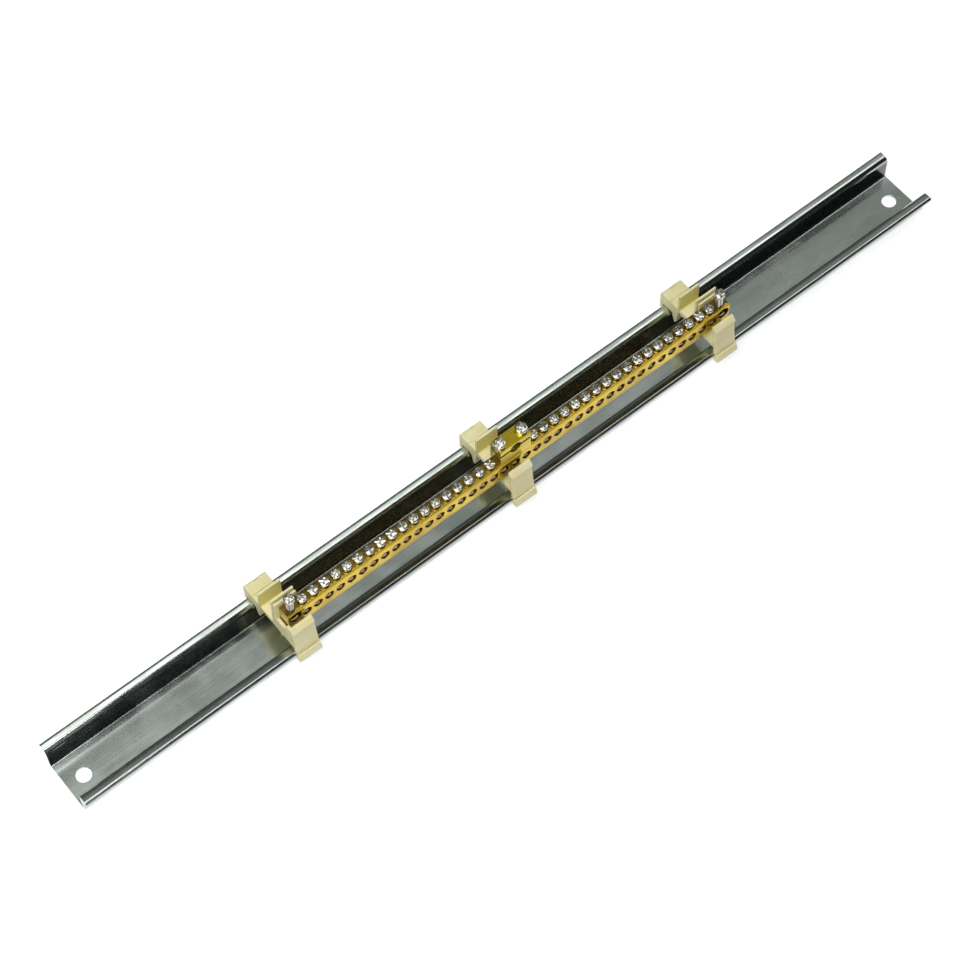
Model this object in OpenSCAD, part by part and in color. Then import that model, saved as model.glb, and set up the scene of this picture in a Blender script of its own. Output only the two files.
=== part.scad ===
// Earth terminal bar: a drilled brass bar with terminal screws and a conductor clamp,
// carried by three moulded clips on a 35 mm top hat rail.
// Millimetres, +Z up, +X along the rail, origin midway between the rail's two fixing
// holes, on the underside of the rail's web.

/* [Rail] */
// Length of the mounting rail
rail_len = 477; // [420:1:560]
// Width over the rail's two flanges
rail_w = 35; // [34:0.5:38]
// Height of the rail from web underside to flange top
rail_h = 15; // [13.5:0.5:18]
// Thickness of the rail's sheet
rail_t = 1.5; // [1.2:0.1:1.8]
// Outside width of the rail's hat
hat_w = 27; // [26:0.5:28]
// Inside radius of the rail's four bends
rail_bend = 0.8; // [0.5:0.1:1]
// Diameter of the rail's two fixing holes
fixing_d = 7; // [4.5:0.1:8.5]
// Distance from each rail end to its fixing hole
fixing_inset = 8.5; // [7:0.5:16]

/* [Bar] */
// Spacing of the terminals along the bar
pitch = 5.94; // [5.6:0.02:6.4]
// Number of terminal screws on each side of the clamp
bank = 18; // [12:1:20]
// Depth of the bar from front face to back face
bar_depth = 6.5; // [6:0.1:7.5]
// Height of the bar
bar_height = 11.5; // [10.5:0.1:13]
// Length of bar beyond the centre of the last terminal
bar_end = 3.7; // [3.5:0.1:5]
// Distance of the bar's centre line in front of the rail's
bar_front = 8.8; // [8:0.1:9.4]
// Distance of the bar's middle from the rail's middle, to the left
bar_left = 6.1; // [0:0.1:12]
// Diameter of the wire holes
wire_d = 4.6; // [4.4:0.1:4.8]
// Height of the wire holes' axes above the bar's underside
wire_rise = 6; // [5.4:0.1:6.6]
// Diameter of the wire hole at each end of the bar
end_wire_d = 6.2; // [5:0.1:6.6]
// Depth of the end wire holes' axes below the bar's top
end_wire_drop = 4.1; // [3.9:0.1:4.6]
// Break on the bar's long top edges
bar_edge = 0.35; // [0.1:0.05:0.6]

/* [Terminal screws] */
// Diameter of a terminal screw's head
head_d = 4.6; // [4:0.1:5.2]
// Height of a terminal screw's head
head_h = 1.95; // [1.5:0.05:2.4]
// Diameter of a terminal screw's shank
shank_d = 3.5; // [3:0.1:3.8]
// Height of the heads above the bar, as the screws are left open
head_stand = 0.6; // [0.3:0.1:1.2]
// Diameter of an end screw's head
end_head_d = 4.8; // [4.2:0.1:5.2]
// Height of an end screw's head above the bar
end_stand = 7; // [4:0.1:8]
// Depth of an end screw's tip below its wire hole's axis
end_tip = 0.9; // [0.4:0.1:1.4]
// Radial clearance of a screw's thread in its tapped hole
thread_clear = 0.05; // [0.02:0.01:0.1]

/* [Conductor clamp] */
// Length of the clamp's two jaws along the bar
jaw_len = 16.6; // [16:0.1:18]
// Depth of the jaws
jaw_depth = 7.3; // [7:0.1:8]
// Height of the lower jaw
lower_jaw_h = 7; // [6.5:0.1:8]
// Gap left between the jaws
jaw_gap = 1.2; // [0.4:0.1:1.8]
// Height of the upper jaw
upper_jaw_h = 3.2; // [3.1:0.1:4]
// Diameter of the conductor's bore through the jaws
conductor_d = 5.8; // [4:0.1:6]
// Diameter of a clamp screw's head
clamp_head_d = 5.7; // [5.2:0.1:6.2]
// Height of a clamp screw's head
clamp_head_h = 2; // [1.6:0.1:2.6]
// Diameter of a clamp screw's shank
clamp_d = 4; // [3.4:0.1:4.1]
// Radial clearance of the clamp screws in the jaws
clamp_clear = 0.2; // [0.1:0.05:0.3]
// Diameter of the countersunk screw that holds the lower jaw
jaw_screw_d = 3; // [2.6:0.1:3.2]

/* [Supports] */
// Width of each moulded support along the rail
support_w = 11.5; // [10:0.1:13]
// Distance of the left support's middle from the bar's left end
inset_left = 3.8; // [3:0.1:5]
// Distance of the right support's middle from the bar's right end
inset_right = 6.4; // [5:0.1:9]
// Distance of the middle support's middle from the bar's middle, to the left
middle_left = 0.7; // [0:0.1:2]
// Height of the bar's seat above the rail's flanges
seat_rise = 11.5; // [10.5:0.1:13]
// Clearance of the clips round the rail's flanges
rail_clear = 0.2; // [0.1:0.05:0.3]
// Clearance of the ribs and front lip beside the bar
bar_clear = 0.25; // [0.15:0.05:0.35]
// Thickness of the cross beam
beam_t = 2.5; // [2:0.1:3]
// Height of the spring arm's top above the flanges
arm_rise = 19; // [17:0.1:20]
// Height of the finger tab's top above the flanges
tab_rise = 17.2; // [14:0.1:19]
// Thickness of the finger tab
tab_t = 1.4; // [1:0.1:1.8]
// Height of the back ribs above the bar's top
rib_rise = 3.2; // [2:0.1:4]
// Thickness of the left support's end cheek
cheek_t = 1.5; // [1.2:0.1:1.7]

/* [Hidden] */
$fn = 14;
e = 0.01;
zinc = [0.72, 0.74, 0.74];
brass = [0.78, 0.64, 0.28];
nickel = [0.86, 0.86, 0.85];
ivory = [0.93, 0.9, 0.74];
function nn(i) = str(i < 10 ? "0" : "", i);
screws = [for (i = [1:2 * bank]) str("terminal_screw_", nn(i))];

// places along the rail
fixing_x = rail_len / 2 - fixing_inset;
last = bank + 2;
bar_x = -bar_left;
bar_half = last * pitch + bar_end;
function at(k) = bar_x + k * pitch;
left_x = bar_x - bar_half + inset_left;
middle_x = bar_x - middle_left;
right_x = bar_x + bar_half - inset_right;
// heights and depths of the bar and the clamp
bar_z = rail_h + seat_rise;
bar_top = bar_z + bar_height;
bar_y0 = -bar_front - bar_depth / 2;
bar_y1 = -bar_front + bar_depth / 2;
wire_z = bar_z + wire_rise;
end_wire_z = bar_top - end_wire_drop;
jaw_y = bar_y0 + jaw_depth / 2;
lower_top = bar_top + lower_jaw_h;
upper_z = lower_top + jaw_gap;
upper_top = upper_z + upper_jaw_h;
bore_z = lower_top + jaw_gap / 2;
jaw_head_d = jaw_screw_d + 2;
jaw_head_z = bore_z - conductor_d / 2 - 0.4;
// depth below a wire hole's axis at which the pointed end of a screw of shank d stays clear
function reach(d) = sqrt(pow(wire_d / 2 - 0.08, 2) - pow(d / 2, 2)) + 0.4;
shank_len = bar_top + head_stand - wire_z + reach(shank_d);
jaw_len_below = jaw_head_z - wire_z + reach(jaw_screw_d) - 0.2;
clamp_len = upper_top - wire_z + reach(clamp_d);
end_len = end_stand + end_wire_drop + end_tip;

// a screw's outline, turned about its axis: tapered head, shank, pointed end
module screw_body(hd, hh, sd, sl) {
  rotate_extrude() polygon([[0, -sl], [sd / 2 - 0.5, -sl], [sd / 2, -sl + 0.5], [sd / 2, 0],
    [hd / 2, 0], [hd / 2 - 0.3, hh], [0, hh]]);
}

// a cross recess combined with a straight slot, cut into the head's top
module recess(hd, hh, a) {
  rotate([0, 0, a]) {
    translate([-hd / 2 - 1, -0.35, hh * 0.52]) cube([hd + 2, 0.7, hh]);
    translate([-0.35, -hd * 0.27, hh * 0.52]) cube([0.7, hd * 0.54, hh]);
  }
}

module screw(hd, hh, sd, sl, a) {
  difference() {
    screw_body(hd, hh, sd, sl);
    recess(hd, hh, a);
  }
}

// one bend of the rail's sheet: a quarter ring about [y, z]
module bend(y, z, sy, sz) {
  translate([y, z]) intersection() {
    difference() {
      circle(rail_bend + rail_t);
      circle(rail_bend);
    }
    translate([sy > 0 ? 0 : -rail_bend - rail_t, sz > 0 ? 0 : -rail_bend - rail_t])
      square(rail_bend + rail_t);
  }
}

module rail_side() {
  wall_y = hat_w / 2;
  lo = rail_bend + rail_t;
  square([wall_y - lo, rail_t]);
  bend(wall_y - lo, lo, 1, -1);
  translate([wall_y - rail_t, lo]) square([rail_t, rail_h - 2 * lo]);
  bend(wall_y + rail_bend, rail_h - lo, -1, 1);
  translate([wall_y + rail_bend, rail_h - rail_t])
    polygon([[0, 0], [rail_w / 2 - wall_y - rail_bend - 0.3, 0], [rail_w / 2 - wall_y - rail_bend, 0.3],
      [rail_w / 2 - wall_y - rail_bend, rail_t - 0.3],
      [rail_w / 2 - wall_y - rail_bend - 0.3, rail_t], [0, rail_t]]);
}

module din_rail() {
  color(zinc) difference() {
    rotate([90, 0, 90]) translate([0, 0, -rail_len / 2]) linear_extrude(rail_len) union() {
      rail_side();
      mirror([1, 0]) rail_side();
    }
    for (s = [-1, 1]) translate([s * fixing_x, 0, -1]) cylinder(h = rail_t + 2, d = fixing_d);
  }
}

// hole for a screw of shank d, from the bar's top down to a wire hole's axis at z
module tapped(x, y, d, z) {
  translate([x, y, z]) cylinder(h = bar_top - z + 1, d = d + 2 * thread_clear);
}

module terminal_bar() {
  c = bar_edge;
  color(brass) difference() {
    translate([bar_x - bar_half, 0, 0]) rotate([90, 0, 90]) linear_extrude(2 * bar_half)
      polygon([[bar_y0, bar_z], [bar_y1, bar_z], [bar_y1, bar_top - c], [bar_y1 - c, bar_top],
        [bar_y0 + c, bar_top], [bar_y0, bar_top - c]]);
    for (k = [-last + 1:last - 1]) translate([at(k), bar_y1 + 1, wire_z]) rotate([90, 0, 0])
      cylinder(h = bar_depth + 2, d = wire_d);
    for (k = [-last, last]) translate([at(k), bar_y1 + 1, end_wire_z]) rotate([90, 0, 0])
      cylinder(h = bar_depth + 2, d = end_wire_d);
    for (i = [2:bank + 1]) for (s = [-1, 1]) tapped(at(s * i), -bar_front, shank_d, wire_z);
    for (s = [-1, 1]) {
      tapped(at(s * last), -bar_front, shank_d, end_wire_z);
      tapped(at(s), jaw_y, clamp_d, wire_z);
    }
    tapped(at(0), -bar_front, jaw_screw_d, wire_z);
  }
}

// one jaw blank with its two clamp screw holes and its share of the conductor bore
module jaw(z, h) {
  difference() {
    translate([bar_x - jaw_len / 2, bar_y0, z]) cube([jaw_len, jaw_depth, h]);
    translate([bar_x, bar_y0 + jaw_depth + 1, bore_z]) rotate([90, 0, 0])
      cylinder(h = jaw_depth + 2, d = conductor_d);
    for (s = [-1, 1]) translate([at(s), jaw_y, z - 1])
      cylinder(h = h + 2, d = clamp_d + 2 * clamp_clear);
  }
}

module lower_jaw() {
  color(brass) difference() {
    jaw(bar_top, lower_jaw_h);
    translate([at(0), -bar_front, jaw_head_z]) {
      cylinder(h = lower_top - jaw_head_z + 1, d = jaw_head_d + 0.2);
      translate([0, 0, -1]) cylinder(h = 1, d1 = jaw_screw_d + 0.2, d2 = jaw_head_d + 0.2);
      translate([0, 0, -lower_jaw_h - 1]) cylinder(h = lower_jaw_h + 2, d = jaw_screw_d + 0.2);
    }
  }
}

module upper_jaw() {
  color(brass) jaw(upper_z, upper_jaw_h);
}

module jaw_fixing_screw() {
  sl = jaw_len_below;
  color(nickel) translate([at(0), -bar_front, jaw_head_z]) difference() {
    rotate_extrude() polygon([[0, -sl], [jaw_screw_d / 2 - 0.5, -sl], [jaw_screw_d / 2, -sl + 0.5],
      [jaw_screw_d / 2, -1.1], [jaw_head_d / 2, -0.1], [jaw_head_d / 2, 0], [0, 0]]);
    translate([-3, -0.35, -0.6]) cube([6, 0.7, 2]);
  }
}

module clamp_screw(s) {
  color(nickel) translate([at(s), jaw_y, upper_top])
    screw(clamp_head_d, clamp_head_h, clamp_d, clamp_len, 35);
}

module end_screw(s) {
  color(nickel) translate([at(s * last), -bar_front, bar_top + end_stand])
    screw(end_head_d, head_h, shank_d, end_len, 50);
}

// terminal screw i of both banks, counted from the left end
module terminal_screw(i) {
  k = i <= bank ? i - last : i - bank + 1;
  color(nickel) translate([at(k), -bar_front, bar_top + head_stand])
    screw(head_d, head_h, shank_d, shank_len, (i * 47) % 180);
}

// Side outline of a support: far hook, finger tab, two ribs, bar seat, spring arm with its
// catch under the near flange, and the leg that centres it inside the hat.
module clip_outline(rib_top) {
  f = rail_w / 2;
  g = f + rail_clear;
  toe_z = rail_h - rail_t - rail_clear;
  rest_z = rail_h + rail_clear;
  inner = hat_w / 2 - rail_t;
  beam_z = rail_h + 7 - beam_t;
  floor_z = rail_h + 7;
  arm_z = rail_h + arm_rise;
  rib_y = bar_y1 + bar_clear;
  lip_y = bar_y0 - bar_clear;
  polygon([
    // catch under the near flange and the arm's foot on it
    [-f + 1.6, toe_z], [-g, toe_z], [-g, rest_z], [-f + 1, rest_z], [-f + 1, beam_z],
    // underside of the beam with its locating nib, then the leg inside the hat
    [-f + 9.2, beam_z], [-f + 9.8, rail_h + 1.6], [-f + 10.2, rail_h + 1.6], [-f + 10.7, beam_z],
    [inner - 4.4, beam_z], [inner - 4.4, rail_h + 2], [inner - 3.1, rail_h - 5.1],
    [inner - 2.1, rail_h - 5.1], [inner - 0.4, rail_h + 0.5],
    // foot and hook at the far flange
    [inner + 0.4, rest_z], [g, rest_z], [g, toe_z], [f - 1.6, toe_z], [f - 1.6, toe_z - 0.8],
    [f + 0.1, rail_h - 4], [f + 2.3, rail_h - 4], [f + 2.3, rail_h + 5.8],
    [f + 1.3, rail_h + 6.8], [inner + 1.4, rail_h + 6.8], [inner + 1.2, rail_h + 6],
    [inner + 0.7, rail_h + 6], [inner + 0.5, floor_z],
    // finger tab
    [6.9 + tab_t, floor_z], [6.9 + tab_t, rail_h + tab_rise - 0.3], [6.6 + tab_t, rail_h + tab_rise],
    [6.9, rail_h + tab_rise], [6.9, floor_z],
    // two ribs behind the bar
    [rib_y + 3, floor_z], [rib_y + 3, rib_top - 0.3], [rib_y + 2.8, rib_top],
    [rib_y + 1.9, rib_top], [rib_y + 1.9, bar_z + 0.5],
    [rib_y + 0.95, bar_z + 0.5], [rib_y + 0.95, rib_top - 0.9], [rib_y + 0.8, rib_top - 0.7],
    [rib_y + 0.15, rib_top - 0.7], [rib_y, rib_top - 0.9], [rib_y, bar_z],
    // seat under the bar with its low front lip
    [lip_y, bar_z], [lip_y, bar_z + 0.9], [lip_y - 0.3, bar_z + 1.2], [lip_y - 0.7, bar_z + 1.2],
    [lip_y - 1, bar_z + 0.9], [lip_y - 1, floor_z],
    // spring arm: tapered inner face, top sloping outward to a ridge over an undercut face
    [-f + 1.4, floor_z], [-f + 1.4, floor_z + 2], [-f + 3.2, arm_z - 0.5], [-f + 2.8, arm_z],
    [-f + 2, arm_z - 0.3], [-f + 0.8, arm_z - 1.5], [-f + 0.1, arm_z - 2.5], [-f + 0.1, arm_z - 2.9],
    [-f + 0.85, arm_z - 3.5], [-f + 0.6, arm_z - 6], [-f - 0.1, rail_h + 6.5],
    [-f - 0.95, rail_h + 0.4], [-f - 0.95, rail_h - 0.7],
    // thumb catch: groove behind it, sloping front face, its foot and the toe under the flange
    [-f - 1.5, rail_h - 0.7], [-f - 1.6, rail_h + 0.4], [-f - 2, rail_h + 0.3], [-f - 3, rail_h - 2.2], [-f - 3.05, rail_h - 3.4],
    [-f - 2.6, rail_h - 4.5], [-f - 0.2, rail_h - 4.8], [-f + 1.6, toe_z - 0.8]]);
}

module support(x, rib_top) {
  translate([x - support_w / 2, 0, 0]) difference() {
    rotate([90, 0, 90]) linear_extrude(support_w) clip_outline(rib_top);
    // core pockets that narrow the front of the seat
    for (s = [-e, support_w - 3]) translate([s, bar_y0 - bar_clear - 2, rail_h + 7])
      cube([3 + e, 5.4, seat_rise - 7 + 2]);
    // small locating mark on the far block
    translate([5, rail_w / 2 + 0.1, rail_h + 6]) cube([2, 0.9, 2]);
  }
}

module support_left() {
  color(ivory) union() {
    support(left_x, bar_top + rib_rise + 0.4);
    // cheek that closes the bar's end of the clip
    translate([left_x - support_w / 2, 0, 0]) rotate([90, 0, 90]) linear_extrude(cheek_t)
      polygon([[-rail_w / 2 + 0.7, rail_h + 6], [-rail_w / 2 + 0.7, rail_h + arm_rise - 3],
        [-rail_w / 2 + 2.6, rail_h + arm_rise - 0.4], [bar_y0 - 0.8, rail_h + arm_rise - 0.4],
        [bar_y0 + 1.4, bar_z + 2.2], [bar_y1 + bar_clear + 0.4, bar_z + 2.2],
        [bar_y1 + bar_clear + 0.4, rail_h + 6]]);
  }
}

// the middle support's ribs stop below the jaws
module support_middle() {
  color(ivory) support(middle_x, bar_top - 0.4);
}

module support_right() {
  color(ivory) support(right_x, bar_top + rib_rise + 0.4);
}

din_rail();
support_left();
support_middle();
support_right();
terminal_bar();
lower_jaw();
upper_jaw();
jaw_fixing_screw();
clamp_screw(-1);  // clamp_screw_left
clamp_screw(1);  // clamp_screw_right
end_screw(-1);  // end_screw_left
end_screw(1);  // end_screw_right
for (i = [1:2 * bank]) terminal_screw(i);
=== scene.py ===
import math

import bmesh
import bpy
import numpy as np
from mathutils import Matrix, Vector


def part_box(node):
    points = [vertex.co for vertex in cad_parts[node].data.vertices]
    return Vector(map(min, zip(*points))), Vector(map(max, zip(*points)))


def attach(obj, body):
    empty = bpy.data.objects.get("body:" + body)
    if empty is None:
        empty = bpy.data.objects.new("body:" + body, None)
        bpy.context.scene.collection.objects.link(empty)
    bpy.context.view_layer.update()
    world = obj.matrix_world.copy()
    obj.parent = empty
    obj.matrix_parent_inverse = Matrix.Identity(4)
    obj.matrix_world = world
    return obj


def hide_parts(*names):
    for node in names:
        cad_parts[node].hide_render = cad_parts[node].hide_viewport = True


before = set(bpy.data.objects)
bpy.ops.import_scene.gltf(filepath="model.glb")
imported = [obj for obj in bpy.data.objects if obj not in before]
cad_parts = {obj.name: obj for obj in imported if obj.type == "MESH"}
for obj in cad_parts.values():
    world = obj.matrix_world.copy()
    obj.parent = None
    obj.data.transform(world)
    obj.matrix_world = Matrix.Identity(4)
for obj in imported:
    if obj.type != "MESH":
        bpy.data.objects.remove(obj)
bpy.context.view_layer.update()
MM = 0.001

# ---------------------------------------------------------------- sizes read from the solids


def node_box(name):
    """A node's lowest and highest corners, in millimetres."""
    lo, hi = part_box(name)
    return np.array(lo) / MM, np.array(hi) / MM


rail_hi = node_box("din_rail")[1]
bar_lo, bar_hi = node_box("terminal_bar")
SCREW_NAMES = sorted(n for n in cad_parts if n.startswith("terminal_screw_"))
BANK = len(SCREW_NAMES) // 2

# ---------------------------------------------------------------- meshes from arrays


def sheet_faces(rows, cols, wrap=False):
    """Corner numbers of the quads of a rows x cols grid: corner (i, j) joins (i, j+1),
    (i+1, j+1) and (i+1, j), and the last column joins the first where the grid wraps."""
    i, j = np.meshgrid(np.arange(rows - 1), np.arange(cols if wrap else cols - 1), indexing="ij")
    k = (j + 1) % cols
    return np.stack([i * cols + j, i * cols + k, (i + 1) * cols + k, (i + 1) * cols + j], -1).reshape(-1, 4)


def add_object(name, data):
    obj = bpy.data.objects.new(name, data)
    bpy.context.scene.collection.objects.link(obj)
    return obj


def piece(name, mesh, finish):
    """An object of one finish that rides on the root body."""
    obj = add_object(name, mesh)
    mesh.materials.append(finish)
    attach(obj, "root")
    return obj


def shade(bm, sharp):
    """Smooth faces, with every edge that turns by more than the angle sharp, in degrees, kept crisp."""
    limit = math.radians(sharp)
    for f in bm.faces:
        f.smooth = True
    for e in bm.edges:
        e.smooth = len(e.link_faces) == 2 and e.calc_face_angle(0.0) < limit


class Shell:
    """Collects grids of points and faces in millimetres, then makes one mesh of them."""

    def __init__(self):
        self.points, self.faces, self.size = [], [], 0

    def add(self, points, faces):
        points = np.asarray(points, float).reshape(-1, 3)
        self.points.append(points)
        self.faces += (np.asarray(faces) + self.size).tolist()
        self.size += len(points)

    def grid(self, points, wrap=False):
        rows, cols = points.shape[:2]
        self.add(points, sheet_faces(rows, cols, wrap))

    def polygon(self, points):
        self.add(points, np.arange(len(points))[None])

    def make(self, name, finish, sharp, weld=2e-6):
        """A piece of everything added: points within weld metres are joined."""
        mesh = bpy.data.meshes.new(name)
        mesh.from_pydata((np.concatenate(self.points) * MM).tolist(), [], self.faces)
        bm = bmesh.new()
        bm.from_mesh(mesh)
        bmesh.ops.remove_doubles(bm, verts=bm.verts, dist=weld)
        bmesh.ops.dissolve_degenerate(bm, edges=bm.edges, dist=1e-7)
        bmesh.ops.recalc_face_normals(bm, faces=bm.faces)
        shade(bm, sharp)
        bm.to_mesh(mesh)
        bm.free()
        return piece(name, mesh, finish)


def softened(node, name, finish, width, angle=28.0):
    """A copy of a solid whose edges are rounded by width millimetres: its loose triangles
    are merged, flat faces joined, and each edge sharper than angle gets a rounded bevel."""
    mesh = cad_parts[node].data.copy()
    mesh.materials.clear()
    bm = bmesh.new()
    bm.from_mesh(mesh)
    bmesh.ops.remove_doubles(bm, verts=bm.verts, dist=2e-6)
    bmesh.ops.dissolve_limit(bm, angle_limit=math.radians(1.0), verts=bm.verts, edges=bm.edges)
    bm.to_mesh(mesh)
    bm.free()
    obj = piece(name, mesh, finish)
    bevel = obj.modifiers.new("rounded", "BEVEL")
    bevel.width = width * MM
    bevel.segments = 2
    bevel.limit_method = "ANGLE"
    bevel.angle_limit = math.radians(angle)
    bevel.miter_outer = "MITER_ARC"
    for p in mesh.polygons:
        p.use_smooth = True
    weighted = obj.modifiers.new("even", "WEIGHTED_NORMAL")
    weighted.keep_sharp = False
    weighted.weight = 80
    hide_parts(node)
    return obj


# ---------------------------------------------------------------- node helpers


def feed(tree, value, socket):
    """Sets a socket to a number or a colour, or links another socket to it."""
    if isinstance(value, (int, float)):
        socket.default_value = value
    elif isinstance(value, tuple):
        socket.default_value = (*value, 1.0)[:4]
    else:
        tree.links.new(value, socket)


def maths(tree, operation, *values):
    node = tree.nodes.new("ShaderNodeMath")
    node.operation = operation
    for k, value in enumerate(values):
        feed(tree, value, node.inputs[k])
    return node.outputs[0]


def times(tree, first, *others):
    for other in others:
        first = maths(tree, "MULTIPLY", first, other)
    return first


def plus(tree, first, *others):
    for other in others:
        first = maths(tree, "ADD", first, other)
    return first


def blend(tree, a, b, factor):
    """The colour a where factor is 0, and b where it is 1."""
    node = tree.nodes.new("ShaderNodeMix")
    node.data_type = "RGBA"
    for k, value in ((0, factor), (6, a), (7, b)):
        feed(tree, value, node.inputs[k])
    return node.outputs[2]


def ramp(tree, value, lo, hi, out_lo=0.0, out_hi=1.0, smooth=True):
    """Goes from out_lo to out_hi while value goes from lo to hi."""
    node = tree.nodes.new("ShaderNodeMapRange")
    node.interpolation_type = "SMOOTHSTEP" if smooth else "LINEAR"
    for k, number in enumerate((value, lo, hi, out_lo, out_hi)):
        feed(tree, number, node.inputs[k])
    return node.outputs[0]


def rise(tree, value, lo, hi):
    """0 below lo millimetres and 1 above hi."""
    return ramp(tree, value, float(lo) * MM, float(hi) * MM)


def fall(tree, value, lo, hi, smooth=True):
    """1 below lo millimetres and 0 above hi."""
    return ramp(tree, value, float(lo) * MM, float(hi) * MM, 1.0, 0.0, smooth)


def axes(tree, vector):
    node = tree.nodes.new("ShaderNodeSeparateXYZ")
    tree.links.new(vector, node.inputs[0])
    return node.outputs


def noise(tree, vector, scale, detail, rough=0.55):
    node = tree.nodes.new("ShaderNodeTexNoise")
    node.inputs["Scale"].default_value = scale
    node.inputs["Detail"].default_value = detail
    node.inputs["Roughness"].default_value = rough
    tree.links.new(vector, node.inputs["Vector"])
    return node.outputs["Fac"]


def stretched(tree, vector, sx, sy, sz):
    node = tree.nodes.new("ShaderNodeMapping")
    node.inputs["Scale"].default_value = (sx, sy, sz)
    tree.links.new(vector, node.inputs["Vector"])
    return node.outputs[0]


def resized(tree, vector, factor):
    node = tree.nodes.new("ShaderNodeVectorMath")
    node.operation = "SCALE"
    tree.links.new(vector, node.inputs[0])
    tree.links.new(factor, node.inputs["Scale"])
    return node.outputs[0]


def blank(owner):
    """The emptied node tree of a material or a world."""
    owner.use_nodes = True
    owner.node_tree.nodes.clear()
    return owner.node_tree


def new_material(name):
    mat = bpy.data.materials.new(name)
    tree = blank(mat)
    out = tree.nodes.new("ShaderNodeOutputMaterial")
    shader = tree.nodes.new("ShaderNodeBsdfPrincipled")
    tree.links.new(shader.outputs[0], out.inputs["Surface"])
    coords = tree.nodes.new("ShaderNodeTexCoord").outputs["Object"]
    return mat, tree, shader.inputs, coords


def bump(tree, inputs, height, distance):
    """Tilts the shader's normal as a relief of this height times distance, in metres."""
    node = tree.nodes.new("ShaderNodeBump")
    node.inputs["Strength"].default_value = 1.0
    node.inputs["Distance"].default_value = distance
    tree.links.new(height, node.inputs["Height"])
    tree.links.new(node.outputs[0], inputs["Normal"])


# ---------------------------------------------------------------- node groups


def new_group(name, masks, **scalars):
    """A group that takes a Vector and the given numbers, and gives masks from 0 to 1."""
    tree = bpy.data.node_groups.new(name, "ShaderNodeTree")
    tree.interface.new_socket("Vector", in_out="INPUT", socket_type="NodeSocketVector")
    for label, value in scalars.items():
        socket = tree.interface.new_socket(label, in_out="INPUT", socket_type="NodeSocketFloat")
        socket.default_value = value
    for label in masks:
        tree.interface.new_socket(label, in_out="OUTPUT", socket_type="NodeSocketFloat")
    return tree, tree.nodes.new("NodeGroupInput").outputs, tree.nodes.new("NodeGroupOutput").inputs


def place(tree, group, **inputs):
    """Puts a group into a tree with these inputs, and gives its outputs."""
    node = tree.nodes.new("ShaderNodeGroup")
    node.node_tree = group
    for label, value in inputs.items():
        feed(tree, value, node.inputs[label])
    return node.outputs


def drawn_grain_group():
    """Fine parallel drawing lines along X over a slow cloudy variation: two noises, one
    stretched over a hundredfold along X, and one only about threefold."""
    tree, given, out = new_group("Drawn grain", ("Lines", "Cloud"), Fineness=1.0)
    fine = resized(tree, given["Vector"], given["Fineness"])
    feed(tree, noise(tree, stretched(tree, fine, 18, 2600, 2600), 1.0, 1.0, 0.5), out["Lines"])
    feed(tree, noise(tree, stretched(tree, given["Vector"], 22, 60, 60), 1.0, 4.0, 0.6), out["Cloud"])
    return tree


def handling_group():
    """Scattered short scratches and dull smudges: a stretched Voronoi cell edge for the
    scratches and a thresholded noise for the smudges."""
    tree, given, out = new_group("Handling marks", ("Scratches", "Smudges"), Scale=1.0)
    vector = resized(tree, given["Vector"], given["Scale"])
    cells = tree.nodes.new("ShaderNodeTexVoronoi")
    cells.feature = "DISTANCE_TO_EDGE"
    cells.inputs["Scale"].default_value = 1.0
    tree.links.new(stretched(tree, vector, 120, 520, 520), cells.inputs["Vector"])
    near = ramp(tree, cells.outputs["Distance"], 0.0, 0.035, 1.0, 0.0)
    some = ramp(tree, noise(tree, vector, 160, 2.0), 0.55, 0.7)
    feed(tree, times(tree, near, some), out["Scratches"])
    feed(tree, ramp(tree, noise(tree, vector, 70, 3.0, 0.5), 0.42, 0.66), out["Smudges"])
    return tree


# Heights, in millimetres, over which the pale painted highlights in the wire holes fade out, how much
# higher they lie in the end holes, and how far in from the bar's ends that difference goes.
HIGHLIGHT_Z, END_RISE, END_REACH = (30.4, 30.75), 0.9, (7.2, 7.0)


def inside_bar_group():
    """Mask rises from 0 at the bar's faces to 1 at 0.6 mm inside its box: it is the smallest
    of the rises along, across and down the bar, each (inset - 0.2 mm) / 0.4 mm. The second mask
    is 1 on the top face and the underside, away from their long edges, where painted shade goes. The third
    mask is 1 at the bottom of the wire holes, 1.2 to 1.5 mm in from both mouths, where a painted highlight
    goes."""
    tree, given, out = new_group("Inside bar", ("Mask", "Painted_shade", "Painted_highlight"))
    spot = axes(tree, given["Vector"])
    middle, half = ((bar_lo + bar_hi) / 2).tolist(), ((bar_hi - bar_lo) / 2).tolist()
    off = [maths(tree, "ABSOLUTE", maths(tree, "SUBTRACT", spot[k], middle[k] * MM)) for k in range(3)]
    inset = [fall(tree, off[k], half[k] - 0.6, half[k] - 0.2, smooth=False) for k in range(3)]
    mask = maths(tree, "MINIMUM", maths(tree, "MINIMUM", inset[0], inset[1]), inset[2])
    top = rise(tree, spot[2], bar_hi[2] - 0.3, bar_hi[2] - 0.1)
    base = fall(tree, spot[2], bar_lo[2] + 0.05, bar_lo[2] + 0.15)
    ends = rise(tree, off[0], half[0] - END_REACH[0], half[0] - END_REACH[1])
    level = maths(tree, "SUBTRACT", spot[2], times(tree, ends, END_RISE * MM))
    mouth = times(tree, rise(tree, off[1], half[1] - 1.9, half[1] - 1.5),
                  fall(tree, off[1], half[1] - 1.2, half[1] - 0.8))
    feed(tree, mask, out["Mask"])
    feed(tree, times(tree, inset[1], maths(tree, "MAXIMUM", top, base)), out["Painted_shade"])
    feed(tree, times(tree, mouth, fall(tree, level, *HIGHLIGHT_Z), mask), out["Painted_highlight"])
    return tree


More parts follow.
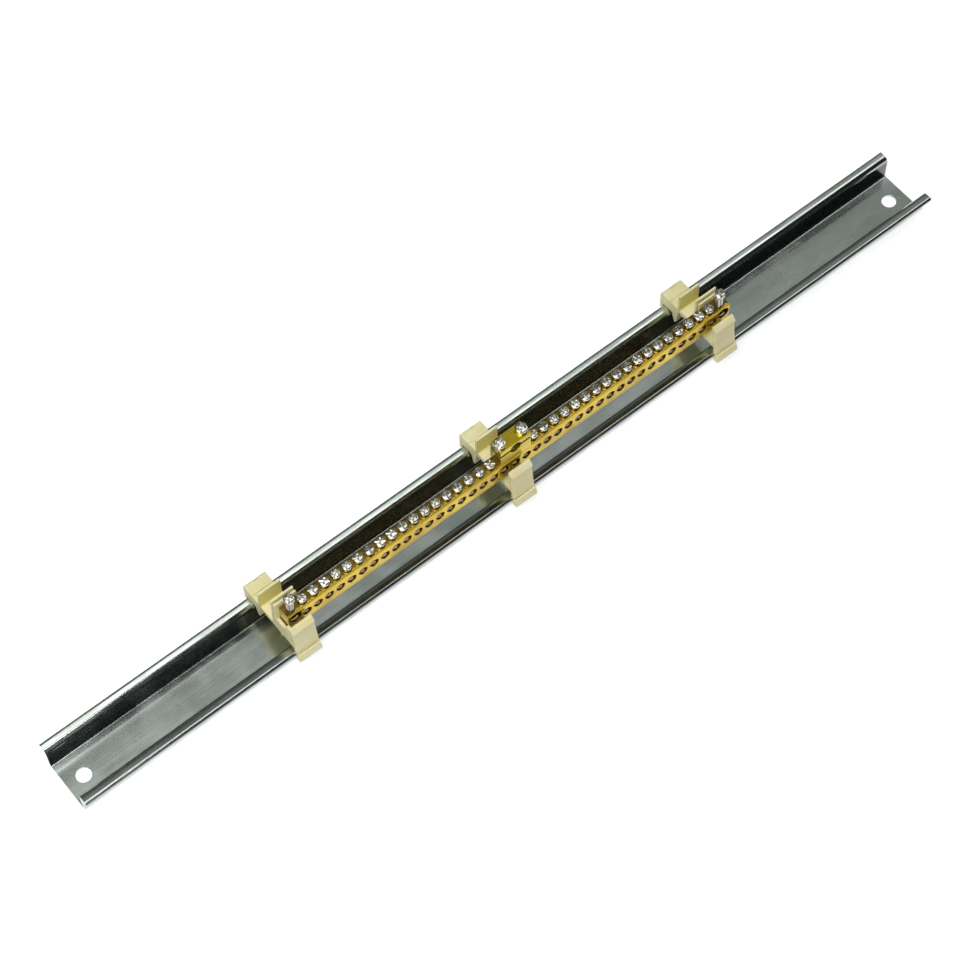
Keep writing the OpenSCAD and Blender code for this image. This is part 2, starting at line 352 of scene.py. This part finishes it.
def rail_zones_group():
    """Masks over the rail's section: Wall is 1 on the side walls' inner faces, between the
    bends, and Edge is 1 within 0.2 mm of a flange's outer edge."""
    tree, given, out = new_group("Rail zones", ("Wall", "Edge"))
    spot = axes(tree, given["Vector"])
    off, height = maths(tree, "ABSOLUTE", spot[1]), spot[2]
    feed(tree, times(tree, rise(tree, height, 1.6, 2.2), fall(tree, height, 11.8, 13.8),
                     rise(tree, off, 11.5, 11.9), fall(tree, off, 12.6, 13.0)), out["Wall"])
    feed(tree, rise(tree, off, 17.15, 17.3), out["Edge"])
    return tree


DRAWN, HANDLING = drawn_grain_group(), handling_group()
INSIDE, ZONES = inside_bar_group(), rail_zones_group()

# ---------------------------------------------------------------- finishes

# How far a smudge pulls a metal's colour to its own.
SMUDGED = 0.45

ZINC_DARK, ZINC_LIGHT = (0.47, 0.53, 0.49), (0.66, 0.71, 0.68)
ZINC_SMUDGE, ZINC_SCRATCH = (0.42, 0.45, 0.43), (0.80, 0.82, 0.80)
# Painted shade on the side walls' inner faces, and bare cut steel at the flanges' edges, darkened further as
# painted shade.
PAINTED_WALL_SHADE, CUT_STEEL_AND_SHADE = (0.12, 0.127, 0.127), (0.16, 0.16, 0.15)


def zinc_plate():
    """Zinc plated rolled strip: grey-green metal, drawn lines along the rail, cloudy
    passivation and a few handling scratches. The inner faces of the side walls are painted near
    black as painted shade, and the cut edges of the flanges are bare dark steel, painted darker still as
    painted shade."""
    mat, tree, inputs, coords = new_material("Zinc plated steel")
    grain = place(tree, DRAWN, Vector=coords, Fineness=0.3)
    marks = place(tree, HANDLING, Vector=coords, Scale=0.7)
    zones = place(tree, ZONES, Vector=coords)
    tone = blend(tree, ZINC_DARK, ZINC_LIGHT, ramp(tree, grain["Cloud"], 0.3, 0.7))
    tone = blend(tree, tone, ZINC_SMUDGE, times(tree, marks["Smudges"], SMUDGED))
    tone = blend(tree, tone, ZINC_SCRATCH, times(tree, marks["Scratches"], 0.5))
    # Painted shade: the inner faces of the side walls are painted near black.
    tone = blend(tree, tone, PAINTED_WALL_SHADE, zones["Wall"])
    # The flanges' cut edges: bare dark steel, painted darker still as painted shade.
    tone = blend(tree, tone, CUT_STEEL_AND_SHADE, zones["Edge"])
    feed(tree, tone, inputs["Base Color"])
    inputs["Metallic"].default_value = 1.0
    feed(tree, plus(tree, times(tree, grain["Lines"], 0.08), times(tree, marks["Smudges"], 0.08),
                    times(tree, zones["Edge"], 0.15), 0.12), inputs["Roughness"])
    bump(tree, inputs, grain["Lines"], 0.0000006)
    return mat


# Metalness of the brass and of the pale painted highlight in the wire holes; painted shade on the bar's top
# and underside, and how much of it shows; painted shade in the bores, and the pale painted highlight.
BRASS_METAL, HIGHLIGHT_METAL = 0.9, 0.05
PAINTED_SHADE_BROWN, PAINTED_SHADE_SHARE = (0.20, 0.13, 0.025), 0.85
PAINTED_BORE_SHADE, PAINTED_BORE_HIGHLIGHT = (0.15, 0.07, 0.015), (0.98, 0.86, 0.66)


def machined_brass(name, light, dark, tarnish, bored=False):
    """Drawn and milled brass: yellow metal with fine lines along the bar, and darker tarnish
    in clouds and smudges. A bored bar is painted darker on its top and underside as painted shade,
    and the walls of its holes, which are whatever lies inside the bar's own box, are painted dark as painted
    shade, each with a pale painted highlight at the bottom."""
    mat, tree, inputs, coords = new_material(name)
    grain = place(tree, DRAWN, Vector=coords, Fineness=0.6)
    marks = place(tree, HANDLING, Vector=coords, Scale=1.0)
    tone = blend(tree, dark, light, ramp(tree, grain["Cloud"], 0.35, 0.65))
    tone = blend(tree, tone, tarnish, times(tree, marks["Smudges"], SMUDGED))
    inputs["Metallic"].default_value = BRASS_METAL
    if bored:
        inside = place(tree, INSIDE, Vector=coords)
        # Painted shade: the bar's top and underside are painted darker.
        tone = blend(tree, tone, PAINTED_SHADE_BROWN, times(tree, inside["Painted_shade"], PAINTED_SHADE_SHARE))
        # Painted shade: the walls of the bores are painted dark.
        tone = blend(tree, tone, PAINTED_BORE_SHADE, inside["Mask"])
        # Painted highlight: a pale, less metallic spot at the bottom of each wire hole.
        tone = blend(tree, tone, PAINTED_BORE_HIGHLIGHT, inside["Painted_highlight"])
        duller = times(tree, inside["Painted_highlight"], BRASS_METAL - HIGHLIGHT_METAL)
        feed(tree, maths(tree, "SUBTRACT", BRASS_METAL, duller), inputs["Metallic"])
    feed(tree, tone, inputs["Base Color"])
    feed(tree, plus(tree, times(tree, grain["Lines"], 0.10), times(tree, marks["Smudges"], 0.12), 0.13),
         inputs["Roughness"])
    bump(tree, inputs, grain["Lines"], 0.000001)
    return mat


NICKEL_DARK, NICKEL_LIGHT = (0.50, 0.50, 0.44), (0.74, 0.73, 0.68)
# A smudge's colour, and the pale painted highlight on the screw tips.
NICKEL_SMUDGE, PAINTED_TIP_HIGHLIGHT = (0.34, 0.34, 0.29), (0.95, 0.90, 0.84)
TIP_Z = (34.6, 35.0)


def plated_screw():
    """Bright nickel plate on turned screws, a little dull in patches. The tips, whose upper
    limit fades over the heights TIP_Z, are painted pale and less metallic as a painted highlight."""
    mat, tree, inputs, coords = new_material("Plated screws")
    marks = place(tree, HANDLING, Vector=coords, Scale=3.0)
    cloud = noise(tree, coords, 420, 3.0)
    tip = fall(tree, axes(tree, coords)[2], *TIP_Z)
    tone = blend(tree, NICKEL_DARK, NICKEL_LIGHT, ramp(tree, cloud, 0.3, 0.7))
    tone = blend(tree, tone, NICKEL_SMUDGE, times(tree, marks["Smudges"], SMUDGED))
    # Painted highlight: the screw tips are painted pale and less metallic.
    tone = blend(tree, tone, PAINTED_TIP_HIGHLIGHT, tip)
    feed(tree, tone, inputs["Base Color"])
    feed(tree, maths(tree, "SUBTRACT", 1.0, times(tree, tip, 0.8)), inputs["Metallic"])
    feed(tree, plus(tree, times(tree, cloud, 0.14), 0.12), inputs["Roughness"])
    bump(tree, inputs, noise(tree, coords, 2600, 2.0), 0.000012)
    return mat


IVORY_DARK, IVORY_LIGHT = (0.82, 0.75, 0.40), (0.90, 0.85, 0.53)
# Dust, and the painted shade on the finger tab's face towards the bar.
DUST, PAINTED_RECESS_SHADE = (0.66, 0.58, 0.32), (0.76, 0.68, 0.20)
RECESS_Y, RECESS_Z, RECESS_BLUR = (6.3, 7.3), (26.0, 36.0), 0.3


def ivory_moulding():
    """Matte ivory moulding: warm cream with slow flow marks, fine spark-eroded texture and a
    little light carried through the thin walls. The face of the finger tab that looks at the
    bar, at distances RECESS_Y and fading over heights RECESS_Z, is painted darker and more yellow as painted
    shade."""
    mat, tree, inputs, coords = new_material("Ivory moulding")
    flow = noise(tree, stretched(tree, coords, 60, 160, 110), 1.0, 4.0, 0.55)
    fine = noise(tree, coords, 5200, 2.0, 0.6)
    dust = ramp(tree, noise(tree, coords, 900, 3.0, 0.65), 0.60, 0.74)
    spot = axes(tree, coords)
    across = times(tree, rise(tree, spot[1], RECESS_Y[0], RECESS_Y[0] + RECESS_BLUR),
                   fall(tree, spot[1], RECESS_Y[1] - RECESS_BLUR, RECESS_Y[1]))
    tone = blend(tree, IVORY_DARK, IVORY_LIGHT, ramp(tree, flow, 0.3, 0.7))
    tone = blend(tree, tone, DUST, times(tree, dust, 0.25))
    # Painted shade: the tab's face towards the bar is painted darker and more yellow.
    tone = blend(tree, tone, PAINTED_RECESS_SHADE, times(tree, fall(tree, spot[2], *RECESS_Z), across))
    feed(tree, tone, inputs["Base Color"])
    inputs["Specular IOR Level"].default_value = 0.35
    feed(tree, plus(tree, times(tree, fine, 0.12), 0.44), inputs["Roughness"])
    inputs["Subsurface Weight"].default_value = 0.12
    inputs["Subsurface Radius"].default_value = (1.0, 0.8, 0.35)
    inputs["Subsurface Scale"].default_value = 0.0015
    bump(tree, inputs, fine, 0.00003)
    return mat


ZINC = zinc_plate()
BRASS = machined_brass("Drawn brass", (0.62, 0.45, 0.03), (0.48, 0.33, 0.02), (0.32, 0.20, 0.015), bored=True)
JAW_BRASS = machined_brass("Milled brass", (0.64, 0.49, 0.03), (0.48, 0.36, 0.02), (0.32, 0.22, 0.015))
NICKEL = plated_screw()
IVORY = ivory_moulding()

# ---------------------------------------------------------------- drilled faces


def drilled_cells(u_edges, v_edges, hole_u, hole_v, radius, rim, depths, nu, nv):
    """Rectangular cells in a row, each with a round hole. A cell's ring 0 is its rectangle,
    with nu steps along u and nv along v, and the next rings are circles about the hole,
    their points on the rays to the rectangle's points: flush at radius + rim, then radius at
    each depth. Returns u, v and depth as arrays of cells x rings x points."""
    s, t = np.linspace(0, 1, nu + 1), np.linspace(0, 1, nv + 1)
    up = np.concatenate([s[:-1], np.ones(nv), s[::-1][:-1], np.zeros(nv)])
    vp = np.concatenate([np.zeros(nu), t[:-1], np.ones(nu), t[::-1][:-1]])
    u = u_edges[:-1, None] + (u_edges[1:] - u_edges[:-1])[:, None] * up
    v = np.broadcast_to(v_edges[0] + (v_edges[1] - v_edges[0]) * vp, u.shape)
    du, dv = u - hole_u[:, None], v - hole_v[:, None]
    length = np.hypot(du, dv)
    rings_u, rings_v, rings_w = [u], [v], [np.zeros_like(u)]
    for grow, depth in [(rim, 0.0)] + [(0.0, d) for d in depths]:
        r = (radius + grow)[:, None]
        rings_u.append(hole_u[:, None] + du / length * r)
        rings_v.append(hole_v[:, None] + dv / length * r)
        rings_w.append(np.full_like(u, depth))
    return np.stack(rings_u, 1), np.stack(rings_v, 1), np.stack(rings_w, 1)


def bored_through(u, v, d, depth):
    """Ends each cell's hole in a far face: its first two rings again, in reverse, at this depth."""
    back_u, back_v = u[:, 1::-1], v[:, 1::-1]
    return (np.concatenate([u, back_u], 1), np.concatenate([v, back_v], 1),
            np.concatenate([d, np.full_like(back_u, depth)], 1))


# ---------------------------------------------------------------- the rail

# Sheet thickness, inner bend radius, and half the width outside the side walls.
SHEET, BEND, HAT = 1.5, 0.8, 13.5
# Fixing holes: distance from the middle, radius, and broken edge.
FIXING_X, FIXING_R, FIXING_RIM = 230.0, 3.5, 0.12
# The web's open cell about a fixing hole: half its size along and across, and its steps.
CELL_X, CELL_Y, CELL_STEPS = 8.0, 6.0, 8
# Radii of a flange's outer edge above and below, and the narrow band of faces at each end.
EDGE_TOP, EDGE_LOW, END_BAND = 1.4, 0.08, 0.12
# The flange's flat rows: how far out from the wall they start, and in from the edge they stop.
FLAT_START, FLAT_STOP = 1.2, 1.8


def arc(cy, cz, r, start, stop, n=7):
    """Points on a circle about (cy, cz), from angle start to angle stop in degrees."""
    a = np.radians(np.linspace(start, stop, n))
    return np.stack([cy + r * np.cos(a), cz + r * np.sin(a)], -1)


def flanged(w, h, slope, curve):
    """Upper and lower side of one half, from the web to the flange's edge and back. At a
    distance d in from the edge the flange is lower by slope d + curve d^2, and this fades
    out down the wall, from height 12 to height 6."""
    outer = BEND + SHEET
    y_in, y_out, z_top = HAT - outer, HAT + BEND, h - outer
    level = np.linspace(HAT + FLAT_START, w - FLAT_STOP, 5)
    up = np.concatenate([
        arc(y_in, outer, BEND, 270, 360), arc(y_out, z_top, outer, 180, 90, 10),
        np.stack([level, np.full_like(level, h)], -1),
        arc(w - EDGE_TOP, h - EDGE_TOP, EDGE_TOP, 90, 0, 12)])
    low = np.concatenate([
        arc(w - EDGE_LOW, h - SHEET + EDGE_LOW, EDGE_LOW, 0, -90, 3), arc(y_out, z_top, BEND, 90, 180),
        arc(y_in, outer, outer, 0, -90, 10)])
    for side in (up, low):
        d = w - side[:, 0]
        side[:, 1] -= np.clip(side[:, 1] / 6 - 1, 0, 1) * (slope * d + curve * d ** 2)
    return up, low


def rail():
    """The hat section's closed outline carried along X, its web open at two cells that hold
    the fixing holes. The sheet is bent on a small radius and has softly broken edges."""
    half, w, h = rail_hi
    across = np.linspace(-CELL_Y, CELL_Y, CELL_STEPS + 1)
    web_top = np.stack([across, np.full_like(across, SHEET)], -1)
    web_low = np.stack([across[::-1], np.zeros_like(across)], -1)
    far_up, far_low = flanged(w, h, 0.026, 0.0114)
    near_up, near_low = flanged(w, h, 0.087, 0.0)
    mirrored = np.array([-1, 1])
    loop = np.concatenate([web_top, far_up, far_low, web_low,
                           near_low[::-1] * mirrored, near_up[::-1] * mirrored])
    first_low = len(web_top) + len(far_up) + len(far_low)
    near = np.linspace(-CELL_X, CELL_X, CELL_STEPS + 1)
    between = np.linspace(-FIXING_X + CELL_X, FIXING_X - CELL_X, 56)[1:-1]
    stations = np.concatenate([[-half, -half + END_BAND], near - FIXING_X, between,
                               near + FIXING_X, [half - END_BAND, half]])
    pts = np.zeros((len(stations), len(loop), 3))
    pts[:, :, 0] = stations[:, None]
    pts[:, :, 1:] = loop
    faces = sheet_faces(len(stations), len(loop), True)
    row, col = faces[:, 0] // len(loop), faces[:, 0] % len(loop)
    mid = 0.5 * (stations[row] + stations[row + 1])
    in_cell = np.abs(np.abs(mid) - FIXING_X) < CELL_X
    in_web = (col < CELL_STEPS) | ((col >= first_low) & (col < first_low + CELL_STEPS))
    shell = Shell()
    shell.add(pts, faces[~(in_cell & in_web)])
    for end in (0, -1):
        shell.polygon(pts[end])
    for x in (-FIXING_X, FIXING_X):
        u, v, d = drilled_cells(
            np.array([x - CELL_X, x + CELL_X]), (-CELL_Y, CELL_Y), np.array([x]), np.zeros(1),
            np.array([FIXING_R]), np.array([FIXING_RIM]), (FIXING_RIM, SHEET / 2, SHEET - FIXING_RIM),
            CELL_STEPS, CELL_STEPS)
        u, v, d = bored_through(u, v, d, SHEET)
        shell.grid(np.stack([u[0], v[0], SHEET - d[0]], -1), True)
    obj = shell.make("Rail", ZINC, 40)
    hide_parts("din_rail")


rail()

# ---------------------------------------------------------------- the drilled bar

# Broken edges: width at the top, inset of its middle line, width at the underside, and a wire
# hole's rim.
TOP_BREAK, TOP_INSET, LOW_BREAK, WIRE_RIM = 0.35, 0.1, 0.15, 0.14
# Wire holes: radius, and height above the underside. End holes: radius, and depth below the top.
WIRE_R, WIRE_UP, END_R, END_DOWN = 2.3, 6.0, 3.1, 4.1
# Tapped holes: radii under the terminal, clamp and jaw fixing screws, countersink, and depth shown.
TAP_R, CLAMP_R, JAW_R, SINK, TAP_DEPTH = 1.8, 2.05, 1.55, 0.25, 2.2
# Steps of a cell's rectangle along the bar, up its front and across its top.
ALONG, UPWARD, OVER = 10, 18, 8


def bar():
    """A row of square cells along X. Front and back walls are one grid of rings per cell, from
    the front rectangle through the wire hole to the back rectangle. The top is a row of cells
    with a countersunk tapped hole each, and strips make the chamfers and the underside."""
    names = ["end_screw_left", *SCREW_NAMES[:BANK], "clamp_screw_left", "jaw_fixing_screw",
             "clamp_screw_right", *SCREW_NAMES[BANK:], "end_screw_right"]
    centres = np.array([np.add(*node_box(name)) / 2 for name in names])
    x, y, n = centres[:, 0], centres[:, 1], len(names)
    edge = np.concatenate([[bar_lo[0]], (x[1:] + x[:-1]) / 2, [bar_hi[0]]])
    (y0, z0), (y1, z1) = bar_lo[1:], bar_hi[1:]
    wire_r, wire_z = np.full(n, WIRE_R), np.full(n, z0 + WIRE_UP)
    wire_r[[0, -1]], wire_z[[0, -1]] = END_R, z1 - END_DOWN
    deep = y1 - y0
    u, v, d = drilled_cells(
        edge, (z0 + LOW_BREAK, z1 - TOP_BREAK), x, wire_z, wire_r, np.full(n, WIRE_RIM),
        (WIRE_RIM, deep * 0.3, deep * 0.5, deep * 0.7, deep - WIRE_RIM), ALONG, UPWARD)
    u, v, d = bored_through(u, v, d, deep)
    shell = Shell()
    for k in range(n):
        shell.grid(np.stack([u[k], y0 + d[k], v[k]], -1), True)
    hole_r = np.full(n, TAP_R)
    hole_r[[n // 2 - 1, n // 2 + 1]], hole_r[n // 2] = CLAMP_R, JAW_R
    u, v, d = drilled_cells(edge, (y0 + TOP_BREAK, y1 - TOP_BREAK), x, y, hole_r, np.full(n, SINK),
                            (SINK, TAP_DEPTH), ALONG, OVER)
    for k in range(n):
        pts = np.stack([u[k], v[k], z1 - d[k]], -1)
        cap = np.broadcast_to([x[k], y[k], z1 - TAP_DEPTH], (1, *pts.shape[1:]))
        shell.grid(np.concatenate([pts, cap]), True)
    steps = np.linspace(0, 1, ALONG + 1)[:-1]
    levels = (edge[:-1, None] + (edge[1:] - edge[:-1])[:, None] * steps).ravel()
    levels = np.append(levels, edge[-1])

    def strip(*corners):
        """A band along the bar whose section is these corners (y, z)."""
        pts = np.zeros((len(corners), len(levels), 3))
        pts[:, :, 0] = levels
        pts[:, :, 1:] = np.array(corners)[:, None]
        shell.grid(pts)

    strip((y0, z1 - TOP_BREAK), (y0 + TOP_INSET, z1 - TOP_INSET), (y0 + TOP_BREAK, z1))
    strip((y1, z1 - TOP_BREAK), (y1 - TOP_INSET, z1 - TOP_INSET), (y1 - TOP_BREAK, z1))
    strip((y0, z0 + LOW_BREAK), (y0 + LOW_BREAK, z0), (y1 - LOW_BREAK, z0), (y1, z0 + LOW_BREAK))
    sides = np.linspace(z0 + LOW_BREAK, z1 - TOP_BREAK, UPWARD + 1)
    tops = np.linspace(y0 + TOP_BREAK, y1 - TOP_BREAK, OVER + 1)
    outline = np.concatenate([
        np.stack([np.full_like(sides, y0), sides], -1), [[y0 + TOP_INSET, z1 - TOP_INSET]],
        np.stack([tops, np.full_like(tops, z1)], -1), [[y1 - TOP_INSET, z1 - TOP_INSET]],
        np.stack([np.full_like(sides, y1), sides[::-1]], -1),
        [[y1 - LOW_BREAK, z0], [y0 + LOW_BREAK, z0]]])
    for x_end in (edge[0], edge[-1]):
        shell.polygon(np.column_stack([np.full(len(outline), x_end), outline]))
    obj = shell.make("Drilled_bar", BRASS, 35)
    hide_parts("terminal_bar")


bar()

# ---------------------------------------------------------------- screws

# Pitch and depth of the threads, and the plain neck above them.
PITCH, THREAD, NECK = 0.7, 0.26, 0.45
# Depths of the recess's floor and of the pit in its middle, and the shallow dome's fall.
RECESS, PIT, DOME = 0.95, 0.38, 0.16
# Head height, shank diameter and half the width of a recess arm, of the three kinds of screw.
TERMINAL, END, CLAMP = (1.95, 3.5, 0.36), (1.95, 3.5, 0.38), (2.0, 4.0, 0.42)


def turned(angle, radius, z):
    """Points about Z: at each angle, this far from the axis and this high."""
    x, y = radius * np.cos(angle), radius * np.sin(angle)
    return np.stack([x, y, np.broadcast_to(z, x.shape)], -1)


def column(*values):
    """A value for each row of points."""
    return np.array(values)[:, None]


def recessed_screw(head_r, head_h, shank_r, length, slot):
    """A screw about Z with its head's underside at 0. One grid wraps it from the middle of the
    recess to the tip. On the head's top the columns follow the recess: an arm of half width
    slot spans the angle asin(slot / r) either side of each quarter turn at radius r, and the
    land between arms follows a shallow dome. Two arms run out through the rim, two stop short.
    The shank's radius drops by THREAD times a triangle wave of z / PITCH plus the turn."""
    arm, land = np.linspace(-1, 1, 5), np.linspace(0, 1, 7)
    r0 = slot * 1.4143
    radii = np.concatenate([[r0], np.linspace(r0 * 1.25, head_r - 0.45, 5),
                            [head_r - 0.25, head_r - 0.08, head_r]])
    dome = head_h - DOME * (radii / head_r) ** 2
    dome[-3:] = head_h - np.array([0.20, 0.30, 0.52])
    ring_r = np.concatenate([radii, np.full(3, head_r), [head_r - 0.08]])
    ring_z = np.concatenate([dome, [head_h * 0.45, 0.25, 0.06], [0.0]])
    floor_z = head_h - RECESS
    reach = np.clip((ring_r - head_r * 0.42) / (head_r * 0.16), 0, 1)
    half_arm = np.minimum(np.arcsin(np.minimum(slot / ring_r, 1.0)), math.pi / 4 - 0.035)
    gap = 0.05 / ring_r
    lo, hi = half_arm + gap, math.pi / 2 - half_arm - gap
    hi = np.maximum(hi, lo)
    angles, heights = [], []
    for quarter in range(4):
        start = quarter * math.pi / 2
        bottom = floor_z + (quarter % 2) * reach * (head_h - floor_z)
        angles += [start + half_arm[:, None] * arm, start + lo[:, None] + (hi - lo)[:, None] * land]
        heights += [np.repeat(np.minimum(ring_z, bottom)[:, None], len(arm), 1),
                    np.repeat(ring_z[:, None], len(land), 1)]
    angle = np.concatenate(angles, 1)
    turn = angle[-1]
    recess = turned(angle[0], column(0.0, 0.45 * r0, 0.92 * r0),
                    column(floor_z - PIT, floor_z - 0.3, floor_z))
    head = turned(angle, ring_r[:, None], np.concatenate(heights, 1))
    neck = turned(turn, column(shank_r + 0.12, shank_r), column(0.0, -0.12))
    rows = np.arange(-NECK, -length + 0.75, -PITCH / 6)[:, None]
    wave = np.abs(((rows / PITCH + turn / (2 * math.pi)) % 1.0) * 2 - 1)
    shank = turned(turn, shank_r - THREAD * wave * np.clip((-NECK - rows) / PITCH, 0, 1), rows)
    tip = turned(turn, column(shank_r - 0.12, shank_r - 0.5, shank_r - 0.62, 0.0),
                 column(0.45, 0.02, 0.0, 0.0) - length)
    return np.concatenate([recess, head, neck, shank, tip])


def fastened(name, nodes, kind, turns):
    """One piece for a run of screws: the same grid turned about its own axis and set down at
    each solid screw's axis, its head and tip at the solid's top and bottom."""
    head_h, shank_d, slot = kind
    shell = Shell()
    for node, turn in zip(nodes, turns):
        lo, hi = node_box(node)
        grid = recessed_screw((hi[0] - lo[0]) / 2, head_h, shank_d / 2, hi[2] - lo[2] - head_h, slot)
        c, s = math.cos(turn), math.sin(turn)
        x, y = grid[..., 0] * c - grid[..., 1] * s, grid[..., 0] * s + grid[..., 1] * c
        shell.grid(np.stack([x + (lo[0] + hi[0]) / 2, y + (lo[1] + hi[1]) / 2,
                             grid[..., 2] + hi[2] - head_h], -1), True)
    obj = shell.make(name, NICKEL, 38, weld=1e-7)
    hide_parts(*nodes)


rng = np.random.default_rng(7)
turns = np.radians(rng.uniform(0, 180, 2 * BANK))
fastened("Terminal_screws_left", SCREW_NAMES[:BANK], TERMINAL, turns[:BANK])
fastened("Terminal_screws_right", SCREW_NAMES[BANK:], TERMINAL, turns[BANK:])
fastened("End_screws", ["end_screw_left", "end_screw_right"], END, np.radians([55, 60]))
fastened("Clamp_screws", ["clamp_screw_left", "clamp_screw_right"], CLAMP, np.radians([30, 48]))
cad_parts["jaw_fixing_screw"].data.materials.clear()
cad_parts["jaw_fixing_screw"].data.materials.append(NICKEL)

# ---------------------------------------------------------------- jaws and moulded supports

for node, name in (("lower_jaw", "Lower_jaw"), ("upper_jaw", "Upper_jaw")):
    softened(node, name, JAW_BRASS, width=0.14)
for side in ("left", "middle", "right"):
    softened("support_" + side, "Support_" + side, IVORY, width=0.16, angle=22.0)

# ---------------------------------------------------------------- floor, light and camera

FLOOR_HALF, FLOOR_Z, FLOOR_WHITE, FLOOR_GLOW = 6.0, -0.0002, (0.80, 0.79, 0.82, 1), 0.62


def floor():
    """A large white floor. To the camera and in reflections it adds a plain glow to its own
    lit colour, so it reads white but keeps the shadow."""
    mesh = bpy.data.meshes.new("Floor")
    corners = [(x * FLOOR_HALF, y * FLOOR_HALF, FLOOR_Z) for x, y in ((-1, -1), (1, -1), (1, 1), (-1, 1))]
    mesh.from_pydata(corners, [], [(0, 1, 2, 3)])
    obj = add_object("Floor", mesh)
    mat = bpy.data.materials.new("White floor")
    tree = blank(mat)
    out = tree.nodes.new("ShaderNodeOutputMaterial")
    diffuse = tree.nodes.new("ShaderNodeBsdfDiffuse")
    diffuse.inputs["Color"].default_value = FLOOR_WHITE
    glow = tree.nodes.new("ShaderNodeEmission")
    glow.inputs["Color"].default_value = (1, 1, 1, 1)
    path = tree.nodes.new("ShaderNodeLightPath")
    seen = maths(tree, "MAXIMUM", path.outputs["Is Camera Ray"],
                 maths(tree, "MAXIMUM", path.outputs["Is Glossy Ray"], path.outputs["Is Transmission Ray"]))
    feed(tree, times(tree, seen, FLOOR_GLOW), glow.inputs["Strength"])
    both = tree.nodes.new("ShaderNodeAddShader")
    tree.links.new(diffuse.outputs[0], both.inputs[0])
    tree.links.new(glow.outputs[0], both.inputs[1])
    tree.links.new(both.outputs[0], out.inputs["Surface"])
    mesh.materials.append(mat)


floor()

STUDIO_DARK, STUDIO_GREY = (0.02, 0.02, 0.024), (0.30, 0.315, 0.30)


def sky():
    """White to the camera. To everything else it is a dim grey studio that lets the lamps
    work, lightest where a direction's Y part is about 0.4, and lighter towards +X."""
    world = bpy.data.worlds.new("Studio")
    bpy.context.scene.world = world
    tree = blank(world)
    out = tree.nodes.new("ShaderNodeOutputWorld")
    way = axes(tree, tree.nodes.new("ShaderNodeTexCoord").outputs["Generated"])
    level = times(tree, ramp(tree, way[1], 0.08, 0.38), ramp(tree, way[0], 0.28, 0.5, 0.9, 1.2),
                  ramp(tree, way[1], 0.42, 0.6, 1.0, 0.3))
    studio = tree.nodes.new("ShaderNodeBackground")
    feed(tree, blend(tree, STUDIO_DARK, STUDIO_GREY, level), studio.inputs["Color"])
    white = tree.nodes.new("ShaderNodeBackground")
    white.inputs["Color"].default_value = (1, 1, 1, 1)
    path = tree.nodes.new("ShaderNodeLightPath")
    mix = tree.nodes.new("ShaderNodeMixShader")
    tree.links.new(path.outputs["Is Camera Ray"], mix.inputs[0])
    tree.links.new(studio.outputs[0], mix.inputs[1])
    tree.links.new(white.outputs[0], mix.inputs[2])
    tree.links.new(mix.outputs[0], out.inputs["Surface"])


sky()


def panel(name, at, aim, size, radiance, colour=(1, 1, 1), turn=0.0):
    """A rectangular soft lamp, turned by turn degrees about its own axis: its power is its
    radiance times pi times its area."""
    lamp = bpy.data.lights.new(name, "AREA")
    lamp.shape = "RECTANGLE"
    lamp.size, lamp.size_y = size
    lamp.energy = radiance * math.pi * size[0] * size[1]
    lamp.color = colour
    to = Vector(aim) - Vector(at)
    spin = Matrix.Rotation(math.radians(turn), 4, "Z")
    add_object(name, lamp).matrix_world = (
        Matrix.Translation(at) @ to.to_track_quat("-Z", "Y").to_matrix().to_4x4() @ spin)


panel("Overhead panel", at=(0.2, 0.075, 0.6), aim=(0.2, 0.075, 0.0), size=(1.3, 0.21), radiance=1.8,
      colour=(1.0, 0.99, 0.97), turn=-6)
panel("High key", at=(-0.4, -0.22, 0.87), aim=(0.0, 0.0, 0.02), size=(0.5, 0.5), radiance=6.6)
panel("Front fill", at=(-0.5, -0.85, 0.5), aim=(0.0, 0.0, 0.02), size=(0.7, 0.6), radiance=1.6,
      colour=(0.98, 0.99, 1.0))

# The camera's place in metres, its azimuth, elevation and roll in degrees, and its lens in
# millimetres on a sensor 36 wide.
EYE, AZIMUTH, ELEVATION, ROLL, LENS = (-0.35549, -0.44620, 1.01273), -37.18, 60.74, -1.90, 98.05


def camera():
    """Looks at the object from azimuth and elevation: its back is the direction
    (sin az cos el, -cos az cos el, sin el), and the roll turns the picture about it."""
    cam = bpy.data.cameras.new("Camera")
    cam.sensor_width = 36.0
    cam.lens = LENS
    cam.clip_start, cam.clip_end = 0.05, 50
    az, el, roll = math.radians(AZIMUTH), math.radians(ELEVATION), math.radians(ROLL)
    back = Vector((math.sin(az) * math.cos(el), -math.cos(az) * math.cos(el), math.sin(el)))
    right = (-back).cross(Vector((0, 0, 1))).normalized()
    up = right.cross(-back)
    x = math.cos(roll) * right + math.sin(roll) * up
    y = -math.sin(roll) * right + math.cos(roll) * up
    turn = Matrix((x, y, back)).transposed()
    obj = add_object("Camera", cam)
    obj.matrix_world = Matrix.Translation(EYE) @ turn.to_4x4()
    bpy.context.scene.camera = obj


camera()
bpy.context.scene.view_settings.view_transform = "Standard"
